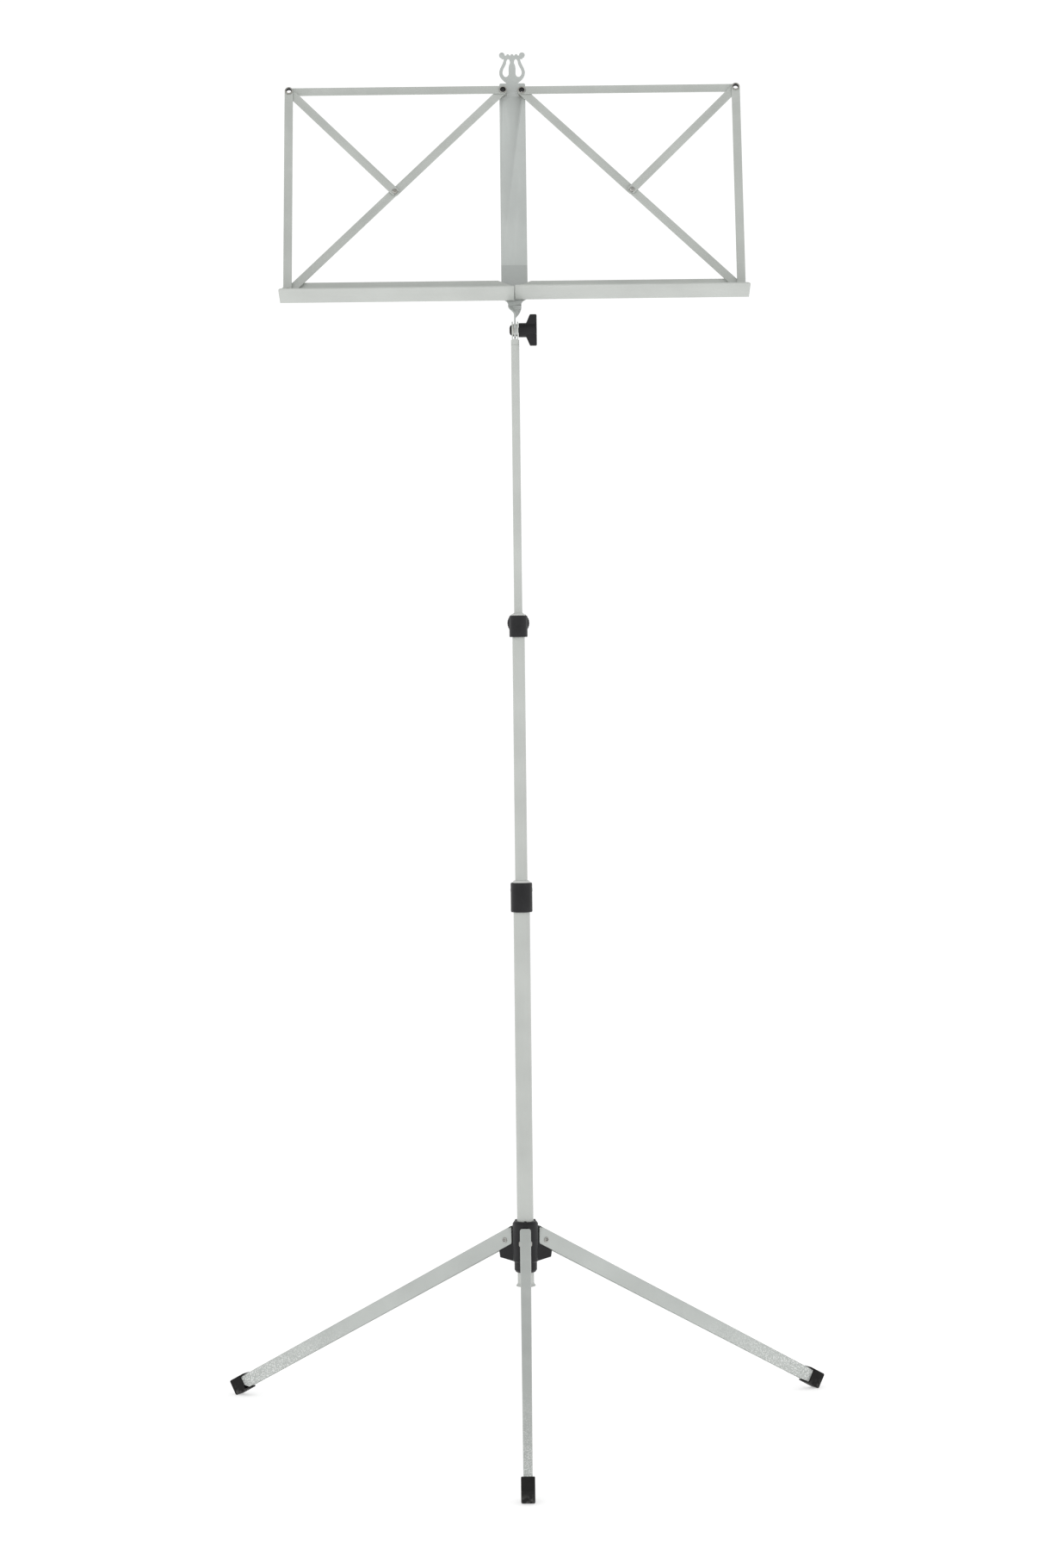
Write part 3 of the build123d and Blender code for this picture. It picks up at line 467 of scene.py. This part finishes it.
# ---- room, light and camera -------------------------------------------------------------------
def studio():
    """A white room, a pale floor and three wide soft lights."""
    scene = bpy.context.scene
    scene.view_settings.view_transform = "Standard"
    world = bpy.data.worlds.new("white_room")
    scene.world = world
    air = Finish("white_room", world)
    up = air.node("SeparateXYZ", None, {0: air.node("TexCoord", output="Generated")}, output="Z")
    fade = air.ramp(up, (0.22, 1.06), (0.75, 0.62))
    glow = air.node("Background", None, {"Color": fade, "Strength": 1.0})
    air.node("OutputWorld", None, {"Surface": glow})
    low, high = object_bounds()
    floor_mesh = bpy.data.meshes.new("floor")
    size = 40.0
    floor_mesh.from_pydata([(-size, -size, 0), (size, -size, 0), (size, size, 0), (-size, size, 0)],
                           [], [(0, 1, 2, 3)])
    floor = bpy.data.objects.new("floor", floor_mesh)
    floor.location.z = low.z - 0.0002
    scene.collection.objects.link(floor)
    pale = Finish("pale_floor")
    grain = pale.noise(30.0, 3.0)
    shade = pale.mix(grain, (0.80, 0.80, 0.80), (0.82, 0.82, 0.82))
    floor_mesh.materials.append(pale.close(Base_Color=shade, Roughness=0.8, Specular_IOR_Level=0.0,
                                           Emission_Color=(1.0, 1.0, 1.0, 1.0), Emission_Strength=0.46))
    for name, place, size, power in (("key", (-1.6, -2.6, 2.4), 1.8, 9.0),
                                     ("fill", (2.2, -1.8, 0.5), 2.0, 4.0),
                                     ("back", (0.6, 2.6, 2.0), 1.6, 4.0)):
        lamp = bpy.data.lights.new(name, "AREA")
        lamp.shape = "DISK"
        lamp.size = size
        lamp.energy = power
        light = bpy.data.objects.new(name, lamp)
        light.location = place
        aim = Vector((0, 0, 0.75)) - Vector(place)
        light.rotation_euler = aim.to_track_quat("-Z", "Y").to_euler()
        scene.collection.objects.link(light)


def camera():
    """Level with the middle of the pole, 3.7 m in front, as a long lens sees the whole stand."""
    low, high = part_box("lower_tube")
    pole_x, pole_y = (low.x + high.x) / 2, (low.y + high.y) / 2
    lens = bpy.data.cameras.new("camera")
    lens.sensor_width = 36.0
    lens.lens = 88.77
    lens.clip_end = 200.0
    view = bpy.data.objects.new("camera", lens)
    turn = Matrix.Rotation(radians(90 - 2.33), 4, "X") @ Matrix.Rotation(radians(-0.66), 4, "Z")
    view.matrix_world = Matrix.Translation((pole_x + 0.0022, pole_y - 3.741, 0.7775)) @ turn
    bpy.context.scene.collection.objects.link(view)
    bpy.context.scene.camera = view


# ---- the frame's places -----------------------------------------------------------------------
joint = {entry["name"]: entry for entry in frame["joints"]}
tilt_at = Vector(joint["desk_tilt"]["pos_m"])
fold_axis = joint["left_ledge_fold"]["axis"]
lean = atan2(-fold_axis[2], fold_axis[1])
desk_place = Matrix.Translation(tilt_at) @ Matrix.Rotation(-lean, 4, "X")


def on_desk(node):
    """A CAD node's points in the desk's own plane, in millimetres."""
    mesh = frame["nodes"][node].data
    points = np.zeros(len(mesh.vertices) * 3, np.float32)
    mesh.vertices.foreach_get("co", points)
    back = np.array(desk_place.inverted(), float)
    return (points.reshape(-1, 3).astype(float) @ back[:3, :3].T + back[:3, 3]) / MM


def depth_of(node, side=0):
    """Rear and front faces of a desk node, or of its left or right solid."""
    points = on_desk(node)
    if side:
        points = points[points[:, 0] * side > 0]
    return points[:, 1].max(), points[:, 1].min()


def pivot(name):
    """A desk joint's place in the desk's plane."""
    at = desk_place.inverted() @ Vector(joint[name]["pos_m"])
    return at.x / MM, at.z / MM


def middle_of(node):
    points = on_desk(node)
    low, high = points.min(0), points.max(0)
    return (low[0] + high[0]) / 2, (low[2] + high[2]) / 2


# ---- desk ---------------------------------------------------------------------------------------
BAR_WIDTH = 8.3
BAR_ROLL = 0.3
EYE_HOLE, PIN_HOLE = 3.22, 1.62
HOOK_NOTCH = 1.75
PIN_SHANK, PIN_HEAD, PIN_DOME = 1.6, 2.6, 0.9


def hollow_rivet(centre, back, front, bore=2.6, shank=3.15, head=3.9, thick=0.8):
    """A tube rivet: a straight shank whose two ends are rolled outward into half-round heads.
    Finish 0 is its outside, finish 1 the bore, painted near-black as painted shade inside the tube."""
    rear, fore = -back, -front
    a = np.linspace(0, pi, 9)
    middle, half = (bore + head) / 2, (head - bore) / 2
    fore_roll = [(middle + half * cos(t), fore - thick + thick * sin(t)) for t in a[::-1]]
    rear_roll = [(middle + half * cos(t), rear + thick - thick * sin(t)) for t in a]
    outside = rear_roll[::-1] + [(shank, rear + thick)] + [(shank, fore - thick)] + fore_roll[::-1]
    outside = lathe(outside + [(bore + 0.02, fore - thick), (bore + 0.02, rear + thick)], 72)
    inside = lathe([(bore, rear + 0.25), (bore + 0.1, rear + 0.25), (bore + 0.1, fore - 0.25),
                    (bore, fore - 0.25)], 72)
    return [across((*outside, 0), centre), across((*inside, 1), centre)]


def stud(centre, back, front, radius, head, thick):
    """A stud with a low domed head at its front, which has a round sink in the middle."""
    rear, fore = -back, -front
    dome = [(head * cos(t), fore - thick + thick * sin(t)) for t in np.linspace(0, 1.05, 7)]
    sink = [(1.15, fore - 0.12), (0.95, fore - 0.45)]
    outline = [(0, rear), (radius, rear), (radius, fore - thick)] + dome + sink + [(0, fore - 0.5)]
    return across(lathe(cored(outline), 64), centre)


def desk_half(side, hand):
    """The five flat bars and the rivets of one half of the desk."""
    top, corner = pivot(hand + "_top_bar_fold"), pivot(hand + "_side_bar_fold")
    low, knee = pivot(hand + "_lower_diagonal_fold"), middle_of(hand + "_knee_stud")
    bars = (("top_bar", top, corner, EYE_HOLE, EYE_HOLE), ("side_bar", corner, low, EYE_HOLE, EYE_HOLE),
            ("upper_diagonal", top, knee, EYE_HOLE, PIN_HOLE),
            ("lower_diagonal", knee, low, PIN_HOLE, EYE_HOLE))
    for name, start, end, start_hole, end_hole in bars:
        back, front = depth_of(hand + "_" + name)
        holes = [circle(start, start_hole), circle(end, end_hole)]
        bar = slab(slot_outline(start, end, BAR_WIDTH), back, front, BAR_ROLL, holes)
        piece(hand + "_" + name + "_strip", [bar], hand + "_" + name, [paint["bar"]],
              [hand + "_" + name], desk_place)
    back, front = depth_of(hand + "_stay")
    hook = hook_outline(corner, knee, BAR_WIDTH, HOOK_NOTCH)
    strip = slab(hook, back, front, BAR_ROLL, [circle(corner, EYE_HOLE)])
    piece(hand + "_stay_strip", [strip], hand + "_stay", [paint["bar"]],
          [hand + "_stay"], desk_place)
    rivets = [rivet_head, bore_shade]
    piece(hand + "_corner_rivet", hollow_rivet(corner, *depth_of(hand + "_corner_eyelet")),
          hand + "_top_bar", rivets, [hand + "_corner_eyelet"], desk_place)
    piece(hand + "_ledge_end_rivet", hollow_rivet(low, *depth_of(hand + "_ledge_end_eyelet")),
          hand + "_ledge", rivets, [hand + "_ledge_end_eyelet"], desk_place)
    pin = stud(knee, *depth_of(hand + "_knee_stud"), PIN_SHANK, PIN_HEAD, PIN_DOME)
    piece(hand + "_knee_pin", [pin], hand + "_lower_diagonal", [rivet_head],
          [hand + "_knee_stud"], desk_place)
    piece(hand + "_top_pivot_rivet", hollow_rivet(top, *depth_of("top_pivot_eyelets", side)), "desk",
          rivets, ["top_pivot_eyelets"], desk_place)
    piece(hand + "_ledge_pivot_rivet",
          hollow_rivet(pivot(hand + "_ledge_fold"), *depth_of("ledge_pivot_eyelets", side)), "desk",
          rivets, ["ledge_pivot_eyelets"], desk_place)


for side, hand in ((-1, "left"), (1, "right")):
    desk_half(side, hand)


def dressed(node, name, width, finish, sharp=32.0):
    """A merged copy of a pressed or moulded CAD part with its sharp edges broken by this width."""
    mesh = frame["nodes"][node].data.copy()
    tidy = bmesh.new()
    tidy.from_mesh(mesh)
    bmesh.ops.remove_doubles(tidy, verts=tidy.verts, dist=1e-6)
    bmesh.ops.dissolve_limit(tidy, angle_limit=radians(0.4), verts=tidy.verts, edges=tidy.edges)
    tidy.to_mesh(mesh)
    tidy.free()
    mesh.name = name
    mesh.materials.clear()
    mesh.materials.append(finish)
    mesh.polygons.foreach_set("use_smooth", [True] * len(mesh.polygons))
    if "custom_normal" in mesh.attributes:
        mesh.attributes.remove(mesh.attributes["custom_normal"])
    thing = bpy.data.objects.new(name, mesh)
    bpy.context.scene.collection.objects.link(thing)
    edge = thing.modifiers.new("edge", "BEVEL")
    edge.width = width * MM
    edge.segments = 2
    edge.limit_method = "ANGLE"
    edge.angle_limit = radians(sharp)
    flat = thing.modifiers.new("flat", "WEIGHTED_NORMAL")
    flat.weight = 90
    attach(thing, body_of_node[node])
    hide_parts(node)
    return thing


def tongue_rim(inner=6.0, outer=8.0, bar_end=6.45, proud=0.02):
    """The round edge of the centre bar's tongue, which fills the clamp's slot nearly to its floor: a
    flat ring about the tilt axis, a hair thicker than the tongue that it closes round."""
    tongue = on_desk("centre_bar")
    tongue = tongue[np.hypot(tongue[:, 1], tongue[:, 2]) < bar_end]
    half = abs(tongue[:, 0]).max() + proud
    rim = lathe(softened([(inner, -half), (outer, -half), (outer, half), (inner, half)], 0.3), 72)
    piece("tongue_rim", [rim], "desk", [paint["centre"]], ["centre_bar"],
          Matrix.Translation(tilt_at) @ Matrix.Rotation(pi / 2, 4, "Y"))


dressed("left_ledge", "left_ledge_angle", 0.3, paint["ledge"])
dressed("right_ledge", "right_ledge_angle", 0.3, paint["ledge"])
dressed("centre_bar", "centre_strip", 0.3, paint["centre"])
tongue_rim()
dressed("leg_hub", "leg_hub_moulding", 0.6, plastic)
dressed("tilt_knob", "wing_knob", 0.5, knob_plastic)


# ---- pole ---------------------------------------------------------------------------------------
tube_low, tube_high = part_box("lower_tube")
pole = Vector(((tube_low.x + tube_high.x) / 2, (tube_low.y + tube_high.y) / 2, 0.0))
pole_place = Matrix.Translation(pole)
COLLAR_BORE = {"lower": 6.05, "upper": 4.05}
TUBES = (("lower_tube", 8.0, 7.0, 1.6), ("middle_tube", 6.0, 5.0, 0.0), ("upper_rod", 4.0, 3.0, 0.0))
KNOB_RIM, KNOB_GROOVE, KNOB_GROOVES = 10.8, 0.32, 40


def heights(node):
    low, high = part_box(node)
    return low.z / MM, high.z / MM


def tube_wall(node, outer, inner, flare=0.0):
    """A drawn tube: two coaxial walls with rounded rims, belled out at the foot by flare."""
    low, high = heights(node)
    foot = [(inner + flare, low + 0.15), (inner + flare + 0.3, low), (outer + flare - 0.3, low),
            (outer + flare, low + 0.25), (outer + flare, low + 0.8)]
    if flare:
        foot += [(outer + flare * 0.55, low + 1.7), (outer + flare * 0.18, low + 2.6)]
    foot += [(outer, low + 3.4)]
    rungs = [(outer, z) for z in np.linspace(low + 8, high - 1.0, 12)]
    top = [(outer, high - 0.3), (outer - 0.3, high), (inner + 0.25, high), (inner, high - 0.3)]
    return lathe(foot + rungs + top + [(inner, low + 3.6)], 96)


for node, outer, inner, flare in TUBES:
    piece(node + "_wall", [tube_wall(node, outer, inner, flare)], body_of_node[node], [paint["tube"]],
          [node], pole_place)


def rearward(part, height):
    """Turns a lathed part so that its axis points away from the player, at this height."""
    points = np.array(part[0])
    return (np.stack([points[:, 0], points[:, 2], height - points[:, 1]], 1), *part[1:])


def parting_line(radius, low, high, sign, half=0.12, proud=0.10, buried=0.2):
    """The fine ridge that a mould leaves down one side of a collar: a long box, mostly sunk in it."""
    outer, inner = radius + proud, radius - buried
    ring = [(-half, outer), (half, outer), (half, inner), (-half, inner)]
    corners = [(sign * x, y, height) for height in (low, high) for y, x in ring]
    sides = [[edge, edge + 4, (edge + 1) % 4 + 4, (edge + 1) % 4] for edge in range(4)]
    return np.array(corners), [[0, 1, 2, 3], [7, 6, 5, 4], *sides]


def collar(node, which, screw):
    """A moulded collar: a black sleeve, the guide ring that shows at its top, painted pale grey as the
    highlight its top bevel catches, and the round boss of its clamp screw. All three are turned profiles,
    with a parting line down each side."""
    low, high = heights(node)
    a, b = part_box(node)
    radius, boss_end = (b.x - a.x) / 2 / MM, (b.y - pole.y) / MM
    run = COLLAR_BORE[which]
    shoulder = high - 2.4
    seat = shoulder - 1.0
    sleeve = softened([(run + 2.2, low), (radius, low), (radius, shoulder), (radius - 1.5, shoulder + 0.5),
                       (radius - 1.5, seat), (run + 2.2, seat)], 0.55)
    guide = softened([(run, seat), (radius - 1.55, seat), (radius - 1.6, shoulder + 0.5),
                      (run + 1.3, high), (run, high)], 0.4)
    boss = softened([(2.7, radius - 2.0), (5.2, radius - 2.0), (5.2, boss_end), (2.7, boss_end)], 0.5)
    parts = [(*lathe(sleeve, 96), 0), (*lathe(guide, 96), 1), (*rearward(lathe(boss, 72), screw), 0)]
    parts += [(*parting_line(radius, low + 0.8, shoulder - 0.8, sign), 0) for sign in (1, -1)]
    piece(node + "_moulding", parts, body_of_node[node], [plastic, collar_top_highlight], [node],
          pole_place)


def clamp_knob(node, screw):
    """A round thumb knob: a dished face, a rolled rim and a milled edge of forty shallow grooves, which
    draw the radius in by a power of a cosine round the turn and fade out towards the middle."""
    a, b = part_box(node)
    start, end = (a.y - pole.y) / MM, (b.y - pole.y) / MM
    rim = KNOB_RIM

    def milled(angle, radius, height):
        reach = np.clip((radius - 7.0) / 3.0, 0, 1)
        return radius - KNOB_GROOVE * reach * (0.5 + 0.5 * np.cos(KNOB_GROOVES * angle)) ** 2

    profile = [(0, start), (3.6, start), (4.2, start + 0.3), (7.4, start + 0.35), (8.8, start + 0.9),
               (10.2, start + 1.9), (rim - 0.1, start + 2.8), (rim, start + 3.6), (rim, end - 1.4),
               (rim - 0.15, end - 0.8), (rim - 0.7, end - 0.2), (rim - 1.5, end), (8.3, end - 0.05),
               (7.6, end - 0.5), (7.0, end - 0.9), (5.0, end - 1.05), (3.2, end - 1.1), (2.9, end - 0.6),
               (2.4, end - 0.35), (0, end - 0.3)]
    piece(node + "_fluted", [rearward(lathe(cored(profile), 320, milled), screw)], body_of_node[node],
          [knob_plastic], [node], pole_place)


for which in ("lower", "upper"):
    screw = joint[which + "_knob_turn"]["pos_m"][2] / MM
    collar(which + "_collar", which, screw)
    clamp_knob(which + "_clamp_knob", screw)


# ---- legs ---------------------------------------------------------------------------------------
LEG_HALF_WIDTH, LEG_LOW, LEG_HIGH, LEG_WALL = 5.3, -6.2, 9.4, 1.0
END_WIDTH, END_DEPTH = 8.4, 13.2
CORNER = 3.2


def leg_rivet(hand, place):
    """A rivet through both walls of a leg and the hub's fin: turned heads with a ring sunk in, painted near-black
    as painted shade in the rivet's hollow.
    """
    profile = [(0, -6.5), (1.2, -6.45), (2.0, -6.2), (2.5, -5.75), (2.6, -5.4), (1.8, -5.4), (1.8, 5.4),
               (2.6, 5.4), (2.5, 5.75), (2.0, 6.2), (1.25, 6.42), (1.05, 6.0), (0, 5.95)]
    sinks = [softened([(0.9, end - 0.02), (1.35, end - 0.02), (1.35, end + 0.06), (0.9, end + 0.06)], 0.02)
             for end in (-6.5, 6.42)]
    parts = [(*lathe(cored(profile), 48), 0)] + [(*lathe(sink, 48), 1) for sink in sinks]
    piece(hand + "_leg_rivet", parts, "hub", [rivet_head, bore_shade], ["leg_rivets"], place)


def leg(hand, slope=28.6, reach=363.0, hub_face=12.65, heel=7.7, overhang=12.0):
    """A pressed channel, open below: a U with rounded bends carried along the leg as it tapers.
    Each line of it starts where it meets the hub: on the upright face, or below the pivot on a
    circle about the pivot. The web's corners are drawn back along a quarter circle."""
    tilt = radians(slope)
    at = joint[hand + "_leg_fold"]["pos_m"]
    pivot_r = hypot(at[0] - pole.x, at[1] - pole.y) / MM
    heading = atan2(at[1] - pole.y, at[0] - pole.x)
    w, bottom, top = LEG_HALF_WIDTH, LEG_LOW, LEG_HIGH
    inside, roof = w - LEG_WALL, top - LEG_WALL
    u = softened([(-w, bottom), (-inside, bottom), (-inside, roof), (inside, roof),
                  (inside, bottom), (w, bottom), (w, top), (-w, top)], 1.5, 5)
    across_y, height = u[:, 0], u[:, 1]
    upright = (hub_face - pivot_r - height * sin(tilt)) / cos(tilt)
    round_heel = -np.sqrt(np.maximum(heel ** 2 - height ** 2, 0.0))
    start = np.where(height < -3.3, np.maximum(round_heel, upright), np.maximum(upright, -overhang))
    near_edge = np.clip((np.abs(across_y) - (w - CORNER)) / CORNER, 0, 1)
    on_web = np.clip((height - 4.0) / 4.5, 0, 1)
    start = start + CORNER * (1 - np.sqrt(1 - near_edge ** 2)) * on_web ** 2
    share = np.linspace(0, 1, 40)[:, None] ** 1.4
    along = start[None] * (1 - share) + reach * share
    taper = (along + overhang) / (reach + overhang)
    wide = 1 + (END_WIDTH / (2 * w) - 1) * taper
    middle = (top + bottom) / 2
    deep = 1 + (END_DEPTH / (top - bottom) - 1) * taper
    grid = np.stack([along, across_y[None] * wide, middle + (height[None] - middle) * deep], -1)
    points, faces = skin(grid, wrap_v=True)
    ends = tessellate_polygon([[Vector((y, z, 0)) for y, z in u]])
    last = len(points) - len(u)
    faces += [[first + index for index in triangle] for first in (0, last) for triangle in ends]
    pivot_place = Matrix.Translation(Vector(at)) @ Matrix.Rotation(heading, 4, "Z")
    piece(hand + "_leg_channel", [(points, faces)], hand + "_leg", [paint["leg"]],
          [hand + "_leg"], pivot_place @ Matrix.Rotation(tilt, 4, "Y"))
    leg_rivet(hand, pivot_place @ Matrix.Rotation(pi / 2, 4, "X"))
    boot = dressed(hand + "_foot_cap", hand + "_foot_boot", 1.5, rubber)
    boot.modifiers["edge"].segments = 4


for hand in ("front", "left", "right"):
    leg(hand)

camera()
studio()
